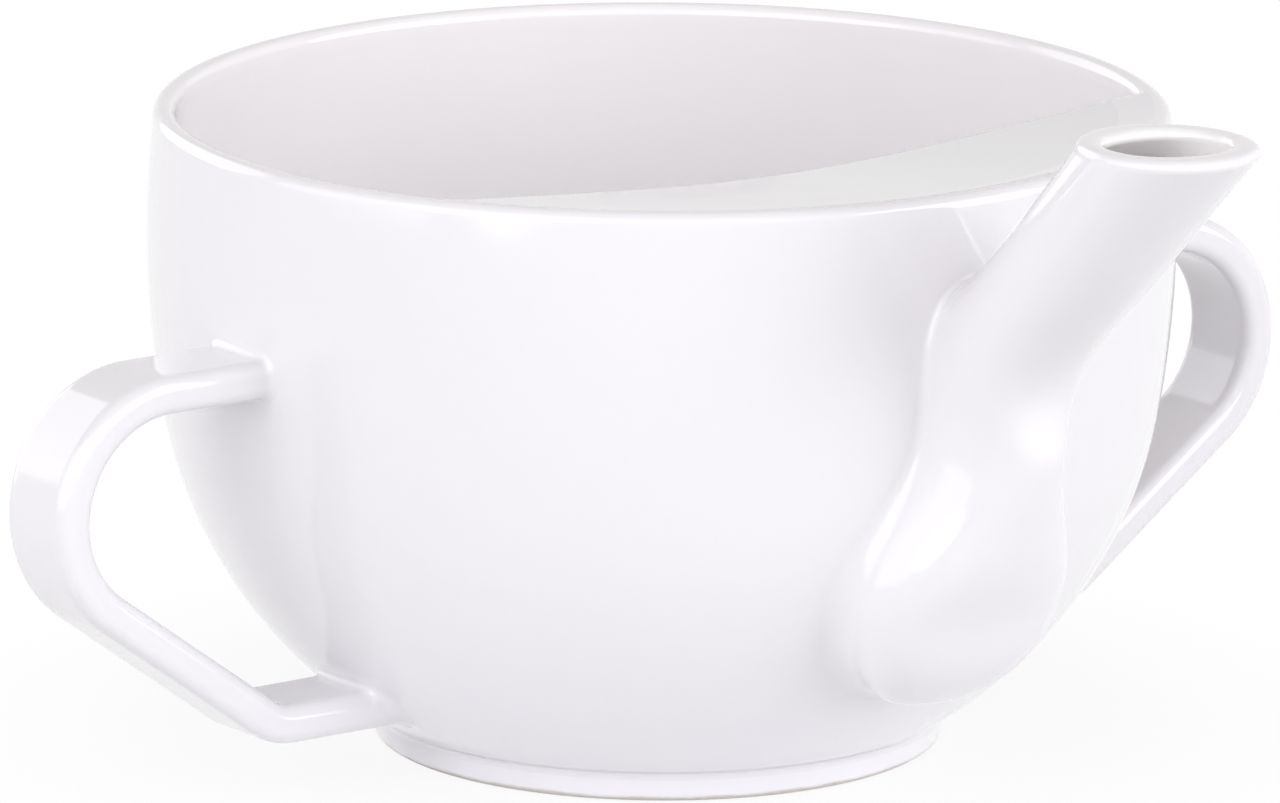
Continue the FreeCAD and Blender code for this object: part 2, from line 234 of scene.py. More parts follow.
def glazeGroup():
    # cloud: slow noise between the cool and the warm white; painted light: paler where the piece
    # faces the drink, standing in for the light on the inner side
    # specks: the few cells of a fine cell pattern that pass a test become small brown dots
    # ripple: slow noise, flattened a little; throwing: fine level rings, deeper where the cloud is
    group, gIn, gOut = addGroup(
        "porcelainGlaze",
        [
            ("Place", "NodeSocketVector", None),
            ("Inside", "NodeSocketFloat", 0.0),
            ("Cool", "NodeSocketColor", glazeLook["wallCool"]),
            ("Warm", "NodeSocketColor", glazeLook["wallWarm"]),
            ("Facing", "NodeSocketColor", glazeLook["paintedInsideLight"]),
            ("Specks", "NodeSocketFloat", glazeLook["speckReach"]),
        ],
        [
            ("Colour", "NodeSocketColor"),
            ("Roughness", "NodeSocketFloat"),
            ("Ripple", "NodeSocketFloat"),
            ("Throwing", "NodeSocketFloat"),
        ],
    )
    nodes, links = group.nodes, group.links
    place = gIn.outputs["Place"]
    cloud = noise(nodes, links, place, glazeLook["cloudScale"])
    body = mixed(nodes, links, cloud, gIn.outputs["Cool"], gIn.outputs["Warm"])
    # painted light: the paler colour where the mask marks the side that faces the drink
    body = mixed(nodes, links, gIn.outputs["Inside"], body, gIn.outputs["Facing"])
    cells = nodes.new("ShaderNodeTexVoronoi")
    cells.inputs["Scale"].default_value = glazeLook["speckCount"]
    links.new(place, cells.inputs["Vector"])
    split = nodes.new("ShaderNodeSeparateColor")
    links.new(cells.outputs["Color"], split.inputs["Color"])
    chosen = calculated(nodes, links, "GREATER_THAN", split.outputs["Red"], glazeLook["speckLimit"])
    size = calculated(nodes, links, "MULTIPLY", gIn.outputs["Specks"], split.outputs["Green"])
    near = calculated(nodes, links, "LESS_THAN", cells.outputs["Distance"], size)
    dot = calculated(nodes, links, "MULTIPLY", chosen, near)
    links.new(mixed(nodes, links, dot, body, glazeLook["speckColour"]), gOut.inputs["Colour"])
    rough = ranged(nodes, links, cloud, (0.0, 1.0), glazeLook["roughness"])
    links.new(rough, gOut.inputs["Roughness"])
    squash = squashed(nodes, links, place, glazeLook["rippleSquash"])
    ripple = noise(nodes, links, squash, glazeLook["rippleScale"], glazeLook["rippleDetail"])
    links.new(ripple, gOut.inputs["Ripple"])
    squash = squashed(nodes, links, place, glazeLook["throwingSquash"])
    rings = noise(nodes, links, squash, glazeLook["throwingScale"])
    links.new(calculated(nodes, links, "MULTIPLY", rings, cloud), gOut.inputs["Throwing"])
    return group


def bareEdgeGroup():
    # mask: 1 under the bare height, its edge moved up and down by noise
    # clay: two greys mixed by fine noise
    group, gIn, gOut = addGroup(
        "bareEdge",
        [("Place", "NodeSocketVector", None)],
        [("Mask", "NodeSocketFloat"), ("Clay", "NodeSocketColor")],
    )
    nodes, links = group.nodes, group.links
    place = gIn.outputs["Place"]
    wander = noise(nodes, links, place, glazeLook["wanderScale"])
    split = nodes.new("ShaderNodeSeparateXYZ")
    links.new(place, split.inputs["Vector"])
    height = glazeLook["bareHeight"]
    shift = calculated(nodes, links, "MULTIPLY", wander, height)
    level = calculated(nodes, links, "ADD", split.outputs["Z"], shift)
    fade = height, height * glazeLook["bareFade"]
    mask = ranged(nodes, links, level, fade, (1.0, 0.0), "SMOOTHSTEP")
    links.new(mask, gOut.inputs["Mask"])
    grain = noise(nodes, links, place, glazeLook["grainScale"], glazeLook["grainDetail"])
    clay = mixed(nodes, links, grain, glazeLook["bareClay"], glazeLook["bareClayDark"])
    links.new(clay, gOut.inputs["Clay"])
    return group


glazeNodes = glazeGroup()
bareEdgeNodes = bareEdgeGroup()


def glazedMaterial(
    name, cool, warm, speckReach, paintedLightColour=glazeLook["paintedInsideLight"], bareFoot=False
):
    # clear glossy glaze over the group's colours; a bare foot is dull clay under the mask
    material = bpy.data.materials.new(name)
    material.use_nodes = True
    nodes, links = material.node_tree.nodes, material.node_tree.links
    shader = nodes["Principled BSDF"]
    place = nodes.new("ShaderNodeTexCoord")
    paintedLightShare = nodes.new("ShaderNodeAttribute")
    paintedLightShare.attribute_name = "paintedLightShare"
    glaze = nodes.new("ShaderNodeGroup")
    glaze.node_tree = glazeNodes
    glaze.inputs["Cool"].default_value = cool
    glaze.inputs["Warm"].default_value = warm
    # painted light: the paler colour for the side that faces the drink
    glaze.inputs["Facing"].default_value = paintedLightColour
    glaze.inputs["Specks"].default_value = speckReach
    links.new(place.outputs["Object"], glaze.inputs["Place"])
    links.new(paintedLightShare.outputs["Fac"], glaze.inputs["Inside"])
    colour, roughness = glaze.outputs["Colour"], glaze.outputs["Roughness"]
    shader.inputs["Coat Weight"].default_value = glazeLook["coat"]
    shader.inputs["Coat Roughness"].default_value = glazeLook["coatRoughness"]
    shader.inputs["IOR"].default_value = glassIndex
    if bareFoot:
        bare = nodes.new("ShaderNodeGroup")
        bare.node_tree = bareEdgeNodes
        links.new(place.outputs["Object"], bare.inputs["Place"])
        colour = mixed(nodes, links, bare.outputs["Mask"], colour, bare.outputs["Clay"])
        dull = calculated(
            nodes, links, "MULTIPLY", bare.outputs["Mask"], glazeLook["bareRoughness"]
        )
        roughness = calculated(nodes, links, "ADD", dull, roughness)
        coat = ranged(nodes, links, bare.outputs["Mask"], (0.0, 1.0), (glazeLook["coat"], 0.0))
        links.new(coat, shader.inputs["Coat Weight"])
    links.new(colour, shader.inputs["Base Color"])
    links.new(roughness, shader.inputs["Roughness"])
    bump = nodes.new("ShaderNodeBump")
    bump.inputs["Distance"].default_value = glazeLook["rippleHeight"]
    links.new(glaze.outputs["Ripple"], bump.inputs["Height"])
    fine = nodes.new("ShaderNodeBump")
    fine.inputs["Distance"].default_value = glazeLook["throwingHeight"]
    links.new(glaze.outputs["Throwing"], fine.inputs["Height"])
    links.new(bump.outputs["Normal"], fine.inputs["Normal"])
    links.new(fine.outputs["Normal"], shader.inputs["Normal"])
    return material


wallColours = glazeLook["wallCool"], glazeLook["wallWarm"]
wallGlaze = glazedMaterial("wallGlaze", *wallColours, glazeLook["speckReach"])
# painted light: the spout's glaze has a paler painted light in its bore than the bowl's inside
spoutGlaze = glazedMaterial(
    "spoutGlaze", *wallColours, glazeLook["speckReach"], glazeLook["paintedBoreLight"]
)
# painted shade: the half cover is given the darker cover colours
coverPaintedShadeGlaze = glazedMaterial("coverPaintedShadeGlaze", glazeLook["coverPaintedShadeCool"], glazeLook["coverPaintedShadeWarm"], 0.0)
slipGlaze = glazedMaterial("slipGlaze", *wallColours, 0.0)
footGlaze = glazedMaterial("footGlaze", *wallColours, 0.0, bareFoot=True)
print("finishes made")


bowlSize = {
    "height": 62.7,
    "bellyRadius": 50.1,
    "bellyHeight": 50.3,
    "hipRadius": 48.6,
    "hipHeight": 33.0,
    "baseRadius": 28.6,
    "footHeight": 3.0,
    "wall": 2.2,
    "floor": 3.0,
    "holeDiameter": 9.0,
    "holeHeight": 20.5,
    "columns": 256,
    "holeCells": 4,  # the grid's square of cells reaches this far each way from the hole's middle
    "underSteps": 14,
    "floorSteps": 13,
    "lipSteps": 17,
    "arcSteps": 3000,  # dense points, from which the even steps are read
}

# upper arc through the hip, upright at the belly; lower arc tangent to it at the hip
hip = np.array([bowlSize["hipRadius"], bowlSize["hipHeight"]])
belly = np.array([bowlSize["bellyRadius"], bowlSize["bellyHeight"]])
upperRadius = ((belly - hip) ** 2).sum() / (2 * (belly[0] - hip[0]))
upperCentre = belly - [upperRadius, 0]
hipNormal = (hip - upperCentre) / upperRadius
base = np.array([bowlSize["baseRadius"], bowlSize["footHeight"]])
lowerRadius = ((hip - base) ** 2).sum() / (2 * (hip - base) @ hipNormal)
lowerCentre = hip - hipNormal * lowerRadius
floorLevel = bowlSize["footHeight"] + bowlSize["floor"]
innerHip = hip - hipNormal * bowlSize["wall"]
innerRadius = (innerHip[1] - floorLevel) / (1 + hipNormal[1])
innerCentre = innerHip - hipNormal * innerRadius
lipRound = bowlSize["wall"] / 2
lipLevel = bowlSize["height"] - lipRound


def wallPlace(height):
    # radius and outward slope of the wall at a height, from the arc that the height falls on
    upper = height > hip[1]
    centreX = np.where(upper, upperCentre[0], lowerCentre[0])
    centreZ = np.where(upper, upperCentre[1], lowerCentre[1])
    arc = np.where(upper, upperRadius, lowerRadius)
    x = np.sqrt(arc**2 - (height - centreZ) ** 2)
    return centreX + x, x / arc, (height - centreZ) / arc


def innerWallRadius(height):
    # x of the inner upper arc: centre + sqrt(R^2 - rise^2)
    rise = height - upperCentre[1]
    return upperCentre[0] + np.sqrt((upperRadius - bowlSize["wall"]) ** 2 - rise**2)


def outOfWall(points):
    # distance of a point outside the bowl: its distance to the arc's centre less the arc's radius
    radius, height = np.hypot(points[..., 0], points[..., 1]), points[..., 2]
    upper = np.hypot(radius - upperCentre[0], height - upperCentre[1]) - upperRadius
    lower = np.hypot(radius - lowerCentre[0], height - lowerCentre[1]) - lowerRadius
    return np.where(height > hip[1], upper, lower)


def wallNormal(points):
    # direction from the arc's centre to the point, turned round the axis
    radius, height = np.hypot(points[..., 0], points[..., 1]), points[..., 2]
    upper = height > hip[1]
    out = (radius - np.where(upper, upperCentre[0], lowerCentre[0])) / radius
    rise = height - np.where(upper, upperCentre[1], lowerCentre[1])
    return unit(np.stack([points[..., 0] * out, points[..., 1] * out, rise], axis=-1))


def angleOf(vector):
    return math.atan2(vector[1], vector[0])


def makeBowl():
    # one closed section (underside, outer arcs, bead lip, inner arcs, floor) turned round the axis;
    # round the pour hole the grid is warped from squares to circles: (1-w) square + w circle
    columns, block, count = bowlSize["columns"], bowlSize["holeCells"], bowlSize["arcSteps"]
    angles = -math.pi / 2 + 2 * math.pi * np.arange(columns) / columns
    holeRadius = bowlSize["holeDiameter"] / 2
    under = np.linspace([0, base[1]], base, bowlSize["underSteps"])
    outerLip = math.asin((lipLevel - upperCentre[1]) / upperRadius)
    outerArcs = np.concatenate([
        arcPoints(lowerCentre, lowerRadius, angleOf(base - lowerCentre), angleOf(hipNormal), count),
        arcPoints(upperCentre, upperRadius, angleOf(hipNormal), outerLip, count)[1:],
    ])
    insideRadius = upperRadius - bowlSize["wall"]
    innerLip = math.asin((lipLevel - upperCentre[1]) / insideRadius)
    innerArcs = np.concatenate([
        arcPoints(upperCentre, insideRadius, innerLip, angleOf(hipNormal), count),
        arcPoints(innerCentre, innerRadius, angleOf(hipNormal), -math.pi / 2, count)[1:],
    ])
    lipOut, lipIn = outerArcs[-1, 0], innerArcs[0, 0]
    lipCentre = [(lipOut + lipIn) / 2, lipLevel]
    lip = arcPoints(lipCentre, (lipOut - lipIn) / 2, 0, math.pi, bowlSize["lipSteps"])
    floor = np.linspace([innerArcs[-1, 0], floorLevel], [0, floorLevel], bowlSize["floorSteps"])
    radius, outX, outZ = wallPlace(np.array(bowlSize["holeHeight"]))
    holeOut = np.array([radius, bowlSize["holeHeight"]])
    holeIn = holeOut - np.array([outX, outZ]) * bowlSize["wall"]
    step = 2 * math.pi * radius / columns

    def split(line, spot):
        # even steps up to the hole's middle and even steps after it
        length = np.r_[0, np.cumsum(np.linalg.norm(np.diff(line, axis=0), axis=1))]
        at = length[np.argmin(np.linalg.norm(line - spot, axis=1))]
        first, last = round(at / step), round((length[-1] - at) / step)
        stops = np.r_[np.linspace(0, at, first + 1), np.linspace(at, length[-1], last + 1)[1:]]
        return length, stops, first

    outLength, outStops, outRow = split(outerArcs, holeOut)
    inLength, inStops, inRow = split(innerArcs, holeIn)

    def warped(line, length, stops, middleRow):
        # grid of one wall: the column angle and the length along the line, warped round the hole
        i = (np.arange(len(stops)) - middleRow)[:, None] / block
        j = ((np.arange(columns) + columns // 2) % columns - columns // 2)[None, :] / block
        m = np.maximum(np.abs(i), np.abs(j))
        middle = np.interp(stops[middleRow], length, line[:, 0])
        a = j * block * 2 * math.pi / columns * middle
        b = (stops - stops[middleRow])[:, None] + 0 * j
        turn = np.arctan2(i + 0 * j, j + 0 * i)
        reach = holeRadius + np.clip(m - 1, 0, None) * block * step
        w = np.clip(2 - m, 0, 1)
        a = (1 - w) * a + w * reach * np.cos(turn)
        b = (1 - w) * b + w * reach * np.sin(turn)
        at = b + stops[middleRow]
        angle = -math.pi / 2 + a / middle
        r, z = np.interp(at, length, line[:, 0]), np.interp(at, length, line[:, 1])
        return np.stack([r * np.cos(angle), r * np.sin(angle), z], axis=-1)

    outer = warped(outerArcs, outLength, outStops, outRow)
    inner = warped(innerArcs, inLength, inStops, inRow)
    grid = np.concatenate([
        turned(under[:-1], angles),
        outer,
        turned(lip[1:-1], angles),
        inner,
        turned(floor[1:], angles),
    ])
    # the mask of the inner side, which gets the paler painted light, fades in over the lip
    lipRow = len(under) - 1 + len(outer)
    paintedLightShare = np.clip((np.arange(len(grid)) - lipRow) / len(lip), 0, 1)[:, None] + 0 * angles
    faces = gridFaces(len(grid), columns, closeColumns=True)
    outMiddle = len(under) - 1 + outRow
    inMiddle = lipRow + len(lip) - 2 + inRow
    cell = np.arange(len(faces))
    row, column = cell // columns, (cell % columns + block) % columns

    def overHole(middle):
        return (row >= middle - block) & (row < middle + block) & (column < 2 * block)

    faces = faces[~(overHole(outMiddle) | overHole(inMiddle))]
    # the two squares' borders, walked round the same way, are joined by the hole's own wall
    side, far = np.arange(-block, block), np.full(2 * block, block)
    loopJ = np.r_[side, far, -side, -far]
    loopI = np.r_[-far, side, far, -side]
    outLoop = (outMiddle + loopI) * columns + loopJ % columns
    inLoop = (inMiddle - loopI) * columns + loopJ % columns
    bore = np.stack([outLoop, np.roll(outLoop, -1), np.roll(inLoop, -1), inLoop], axis=-1)
    return grid, np.concatenate([faces, bore]), paintedLightShare


points, faces, paintedLightShare = makeBowl()
makePiece("bowlWall", points, faces, "bowl", wallGlaze, paintedLightShare=paintedLightShare)
print("bowl made")


footSize = {
    "radius": 27.9,
    "width": 3.6,
    "height": 3.0,
    "taper": 0.3,
    "bevel": 0.5,
    "slip": 0.8,
    "slipPull": 0.4,  # how far the bead's curve is drawn into its corner
    "slipSteps": 7,
    "softness": (0.3, 0.3, 0.3, 0.02, 0.02, 0.3),  # of the six corners
    "softSteps": 6,
    "sharpAngle": 30.0,
    "slipSharpAngle": 40.0,
    "columns": 256,
}


def closedTurn(profile, columns):
    # a closed section carried round the axis: first and last row meet
    angles = 2 * math.pi * np.arange(columns) / columns
    grid = turned(np.concatenate([profile, profile[:1]]), angles)
    return grid, gridFaces(len(grid), columns, closeColumns=True)


def softCorners(corners, size, steps):
    # each corner becomes the parabola (1-t)^2 a + 2t(1-t) corner + t^2 b,
    # between the points a and b that are set back from it by size
    before, after = np.roll(corners, 1, axis=0), np.roll(corners, -1, axis=0)
    a = corners + unit(before - corners) * size
    b = corners + unit(after - corners) * size
    t = np.linspace(0, 1, steps)[None, :, None]
    curve = (1 - t) ** 2 * a[:, None] + 2 * t * (1 - t) * corners[:, None] + t**2 * b[:, None]
    return curve.reshape(-1, 2)


def makeFoot():
    # ring section: bearing edge, two bevels and two leaning sides, its lower corners softened
    inner = footSize["radius"] - footSize["width"]
    low = np.array([
        [inner + footSize["bevel"], 0.0],
        [footSize["radius"] - footSize["bevel"], 0.0],
        [footSize["radius"], footSize["bevel"]],
        [footSize["radius"] + footSize["taper"], footSize["height"]],
        [inner - footSize["taper"], footSize["height"]],
        [inner, footSize["bevel"]],
    ])
    softness = np.array(footSize["softness"])[:, None]
    return closedTurn(softCorners(low, softness, footSize["softSteps"]), footSize["columns"])


def makeFootSlip():
    # two small hollow beads, outside and inside the ring, under the bowl
    beads, faces, count = [], [], 0
    lean = footSize["taper"] * footSize["slip"] / (footSize["height"] - footSize["bevel"])
    outer = footSize["radius"] + footSize["taper"]
    inner = footSize["radius"] - footSize["width"] - footSize["taper"]
    top, pull = footSize["height"], footSize["slipPull"]
    for corner, low, end in (
        (outer, outer - lean, bowlSize["baseRadius"]),
        (inner, inner + lean, inner - footSize["slip"]),
    ):
        a, b, c = np.array([[low, top - footSize["slip"]], [end, top], [corner, top]])
        t = np.linspace(0, 1, footSize["slipSteps"])[:, None]
        drawn = c * pull + (a + b) * (1 - pull) / 2
        curve = (1 - t) ** 2 * a + 2 * t * (1 - t) * drawn + t**2 * b
        grid, quads = closedTurn(np.concatenate([curve, [c]]), footSize["columns"])
        beads.append(grid.reshape(-1, 3))
        faces.append(quads + count)
        count += len(beads[-1])
    return np.concatenate(beads), np.concatenate(faces)


points, faces = makeFoot()
makePiece("footRing", points, faces, "foot_ring", footGlaze, footSize["sharpAngle"])
points, faces = makeFootSlip()
makePiece("footSeam", points, faces, "foot_slip", slipGlaze, footSize["slipSharpAngle"])
print("foot made")


coverSize = {
    "thickness": 2.2,
    "edgeOffset": 20.0,
    "dropAtLip": 0.5,
    "dropAtEdge": 3.2,
    "edgeRound": 1.0,
    "slipWidth": 3.0,
    "slipAngle": 70.0,
    "underSlip": 1.3,
    "slipPulls": (1.2, 0.9),
    "underPull": 0.5,
    "slipHidden": ((0.35, 0.2), (-0.2, -0.4)),  # where the seam runs inside the lip and the plate
    "underHidden": 0.2,
    "slipSteps": 12,
    "underSteps": 9,
    "slipEnd": 0.03,  # share of the sweep in which the seam runs out
    "rimLap": 0.3,
    "noseFade": 3.0,  # the nose runs out over this much at both ends
    "noseSteps": 13,
    "inwardSteps": 60,
    "crowding": 1.2,  # draws the rows towards the free edge
    "columns": 161,
}
coverRim = innerWallRadius(lipLevel)
coverRimLevel = bowlSize["height"] - coverSize["dropAtLip"]
coverEdgeLevel = bowlSize["height"] - coverSize["dropAtEdge"]
coverFall = (coverRimLevel - coverEdgeLevel) / (coverRim - coverSize["edgeOffset"])


def coverLevel(radius):
    # straight cone through the free edge and the rim
    return coverEdgeLevel + coverFall * (radius - coverSize["edgeOffset"])


def makeCover():
    # the closed section runs rim to edge on top, round the bullnose, and back below;
    # it is stretched from the straight free edge (k = 0) to the rim circle (k = 1)
    thick, roundness = coverSize["thickness"], coverSize["edgeRound"]
    fade = np.linspace(1, 0, coverSize["inwardSteps"]) ** coverSize["crowding"]
    nose = np.linspace(math.pi / 2, -math.pi / 2, coverSize["noseSteps"])
    t = np.linspace(-1, 1, coverSize["columns"])[None, :]
    rim = coverRim + coverSize["rimLap"]
    farAngle = math.acos(coverSize["edgeOffset"] / rim)
    rimX, rimY = rim * np.sin(farAngle * t), -rim * np.cos(farAngle * t)
    edgeX, edgeY = rimX, -coverSize["edgeOffset"] + 0 * t
    across = np.minimum(1, (edgeY - rimY) / coverSize["noseFade"])

    def place(k, drop, setBack):
        # k runs from edge to rim, setBack holds the flat part off the free edge by the nose
        x = edgeX + (rimX - edgeX) * k
        y = edgeY + (rimY - edgeY) * k - setBack * (1 - k)
        y = np.minimum(y, -coverSize["edgeOffset"] - setBack * across)
        return np.stack([x, y, coverLevel(np.hypot(x, y)) - drop + 0 * x], axis=-1)

    top = place(fade[:, None], 0.0, roundness)
    start = place(np.zeros((1, 1)), 0.0, roundness)[0]
    bend = roundness * (1 - np.abs(np.sin(nose)))
    drop = np.where(nose >= 0, bend, thick - bend)
    out = roundness * np.cos(nose)
    bull = np.stack([
        start[:, 0] + 0 * out[:, None],
        start[:, 1] + out[:, None] * across,
        start[:, 2] - drop[:, None],
    ], axis=-1)
    bottom = place(fade[::-1][:, None], thick, roundness)
    grid = np.concatenate([top[:-1], bull, bottom[1:], top[:1]])
    return grid, gridFaces(len(grid), grid.shape[1])


def makeCoverSlip():
    # section points (radius, height) are swept round the rim to where the free edge starts;
    # near both ends the section shrinks towards the corner by sqrt(1 - s^2)
    beads, faces, count = [], [], 0
    climb = math.radians(coverSize["slipAngle"])
    middle = np.array([coverRim + lipRound, lipLevel])
    onLip = middle + lipRound * np.array([-math.cos(climb), math.sin(climb)])
    along = np.array([-math.sin(climb), -math.cos(climb)])
    topX = coverRim - coverSize["slipWidth"]
    topEnd = np.array([topX, coverLevel(topX)])
    fall = unit(np.array([1.0, coverFall]))
    onTop, onSide = coverSize["slipPulls"]
    above = bezier(
        topEnd, topEnd + fall * onTop, onLip + along * onSide, onLip, coverSize["slipSteps"]
    )
    hidden = np.array([[coverRim, lipLevel], [coverRim, coverRimLevel]]) + coverSize["slipHidden"]
    underZ = coverRimLevel - coverSize["thickness"]
    cornerX = innerWallRadius(underZ)
    width, pull = coverSize["underSlip"], coverSize["underPull"]
    under = bezier(
        np.array([cornerX - width, underZ - coverFall * width]),
        np.array([cornerX - pull, underZ - pull / 10]),
        np.array([cornerX - pull / 10, underZ - pull]),
        np.array([innerWallRadius(underZ - width), underZ - width]),
        coverSize["underSteps"],
    )
    hiddenUnder = np.array([[cornerX, underZ]]) + coverSize["underHidden"]
    for section, corner in (
        (np.concatenate([above, hidden]), np.array([coverRim, coverRimLevel])),
        (np.concatenate([under, hiddenUnder]), np.array([cornerX, underZ])),
    ):
        t = np.linspace(-1, 1, coverSize["columns"])
        s = np.clip((np.abs(t) - 1) / coverSize["slipEnd"] + 1, 0, 1)
        k = np.sqrt(1 - s**2)[None, :, None]
        ring = np.concatenate([section, section[:1]])[:, None, :]
        ring = corner + (ring - corner) * k
        reach = math.acos((coverSize["edgeOffset"] + coverSize["edgeRound"]) / coverRim)
        angle = -math.pi / 2 + reach * t[None, :]
        r, z = ring[..., 0], ring[..., 1]
        grid = np.stack([r * np.cos(angle), r * np.sin(angle), z], axis=-1)
        beads.append(grid.reshape(-1, 3))
        faces.append(gridFaces(*grid.shape[:2]) + count)
        count += len(beads[-1])
    return np.concatenate(beads), np.concatenate(faces)


points, faces = makeCover()
makePiece("halfCover", points, faces, "half_cover", coverPaintedShadeGlaze)
points, faces = makeCoverSlip()
makePiece("coverSeam", points, faces, "cover_slip", slipGlaze, softAngle)
print("cover made")


seamLook = {
    "pull": 0.6,  # share of the seam's width that the cubic's two middle points stand off
    "sink": 0.25,
    "lap": 0.01,
    "steps": 9,
    "slopeSteps": (0.02, 0.01),  # either way along the surface's two parameters
}


def slipBand(surface, rows, across, size):
    # along a closed seam given by the surface's two parameters, a cubic bridges from a foot on the
    # wall to a foot on the piece, tangent to both; the band closes behind, sunk into the corner
    def slope(a, b):
        da, db = seamLook["slopeSteps"]
        alongA = (surface(a + da, b) - surface(a - da, b)) / (2 * da)
        alongB = (surface(a, b + db) - surface(a, b - db)) / (2 * db)
        return alongA, alongB

    seam = surface(rows, across)
    along = unit(np.roll(seam, -1, axis=0) - np.roll(seam, 1, axis=0))
    wall = wallNormal(seam)
    alongA, alongB = slope(rows, across)
    skin = unit(np.cross(alongA, alongB))
    fromMiddle = seam - seam.mean(0)
    outward = np.einsum("ij,ij->i", skin, wall) + 2 * np.einsum("ij,ij->i", skin, fromMiddle)
    skin = skin * np.sign(outward)[:, None]
    wallSide = unit(np.cross(along, wall))
    wallSide *= np.sign(np.einsum("ij,ij->i", wallSide, skin))[:, None]
    skinSide = unit(np.cross(along, skin))
    skinSide *= np.sign(np.einsum("ij,ij->i", skinSide, wall))[:, None]
    # the step on the skin as steps of its two parameters, by the two-by-two normal equations
    aa, bb = (np.einsum("ij,ij->i", v, v) for v in (alongA, alongB))
    ab = np.einsum("ij,ij->i", alongA, alongB)
    sa, sb = (np.einsum("ij,ij->i", v, skinSide) for v in (alongA, alongB))
    det = aa * bb - ab**2
    stepA = (sa * bb - sb * ab) / det * size
    stepB = (sb * aa - sa * ab) / det * size
    size = (size + 0 * rows)[:, None]
    skinFoot = surface(rows + stepA, across + stepB)
    footA, footB = slope(rows + stepA, across + stepB)
    skinBack = -unit(footA * stepA[:, None] + footB * stepB[:, None])
    wallFoot = seam + wallSide * size
    wallFoot = wallFoot - wallNormal(wallFoot) * (outOfWall(wallFoot)[:, None] + seamLook["lap"])
    footNormal = wallNormal(wallFoot)
    lift = np.einsum("ij,ij->i", wallSide, footNormal)[:, None]
    wallBack = unit(footNormal * lift - wallSide)
    reach = seamLook["pull"] * size
    wallPull, skinPull = wallFoot + wallBack * reach, skinFoot + skinBack * reach
    band = bezier(wallFoot, wallPull, skinPull, skinFoot, seamLook["steps"])
    hidden = seam - (wall + skin) * seamLook["sink"]
    grid = np.concatenate([band, hidden[None], band[:1]])
    return grid, gridFaces(len(grid), grid.shape[1], closeColumns=True)


spoutSize = {
    "mouthHeight": 72.9,
    "mouthHalfWidth": 8.3,
    "tubeRootHeight": 43.8,
    "tubeAngle": 45.0,
    "tubeHalfDepth": 6.3,
    "rootHalfDepth": 7.3,
    "tubeLead": 9.1,
    "neckHalfWidth": 6.2,
    "neckStand": 12.0,
    "neckDrop": 3.9,
    "neckShares": (0.33, 0.62, 0.9),
    "bulbHalfWidth": 11.2,
    "bulbStand": 7.4,
    "bulbHeight": 24.0,
    "tailHeight": 12.8,
    "tailTurns": (86, 66, 44, 22, 0),
    "tailSink": 3.7,
    "tailFullness": 0.7,
    "bulbShoulder": 1.4,
    "tubeShoulder": 0.75,
    "wall": 2.3,
    "lipRound": 1.0,
    "lipFullness": 2.6,  # 2 is a half circle, more is squarer
    "lipRows": 13,
    "slip": 0.8,
    "tailSlip": 2.4,
    "slipFadeHeight": 27.0,
    "rootRows": 110,
    "tubeRows": 70,
    "columns": 129,
}
# rows of spoutStations: the last one of the tail, and the tube's second
bulbRow = len(spoutSize["tailTurns"]) - 1
tubeRow = bulbRow + len(spoutSize["neckShares"]) + 2


def spoutStations(inset):
    # rows of (radius, height, side direction x and z, half width, half depth, shoulder) up the
    # spout: the tail and bulb by turns of a quarter ellipse, the neck by shares, the straight tube
    s, rows = spoutSize, []
    bottom = s["tailHeight"] + inset
    turn = np.radians(s["tailTurns"])
    narrow = np.cos(turn)
    height = s["bulbHeight"] - (s["bulbHeight"] - bottom) * np.sin(turn)
    radius, outX, outZ = wallPlace(height)
    sink = s["tailSink"] * (1 - narrow) ** 2
    rows.append(np.stack([
        radius - outX * sink, height - outZ * sink, outX, outZ,
        (s["bulbHalfWidth"] - inset) * narrow,
        (s["bulbStand"] - inset) * narrow ** s["tailFullness"],
        s["bulbShoulder"] + 0 * narrow,
    ], axis=-1))
    share = np.array(s["neckShares"])
    height = s["bulbHeight"] + (s["tubeRootHeight"] - s["neckDrop"] - s["bulbHeight"]) * share
    radius, outX, outZ = wallPlace(height)
    ease = (1 - np.cos(math.pi * share)) / 2
    rows.append(np.stack([
        radius, height, outX, outZ,
        s["bulbHalfWidth"] + (s["neckHalfWidth"] - s["bulbHalfWidth"]) * ease - inset,
        s["bulbStand"] + (s["neckStand"] - s["bulbStand"]) * share - inset,
        s["bulbShoulder"] + (s["tubeShoulder"] - s["bulbShoulder"]) * share,
    ], axis=-1))
    rise = math.radians(s["tubeAngle"])
    tubeLength = (s["mouthHeight"] - s["tubeRootHeight"]) / math.sin(rise)
    mouthReach = wallPlace(np.array(s["tubeRootHeight"]))[0] + tubeLength * math.cos(rise)
    back = np.array([tubeLength - s["tubeLead"], tubeLength / 2, 0, -2 * s["tubeHalfDepth"]])
    depth = np.where(back == back[0], s["rootHalfDepth"], s["tubeHalfDepth"])
    widening = (s["mouthHalfWidth"] - s["neckHalfWidth"]) * (1 - back / tubeLength)
    rows.append(np.stack([
        mouthReach - back * math.cos(rise), s["mouthHeight"] - back * math.sin(rise),
        math.sin(rise) + 0 * back, -math.cos(rise) + 0 * back,
        s["neckHalfWidth"] + widening - inset, depth - inset, s["tubeShoulder"] + 0 * back,
    ], axis=-1))
    return np.concatenate(rows)


spoutOuter = spoutStations(0.0)
spoutInner = spoutStations(spoutSize["wall"])
spoutKnots = np.r_[0, np.cumsum(np.linalg.norm(np.diff(spoutOuter[:, :2], axis=0), axis=1))]


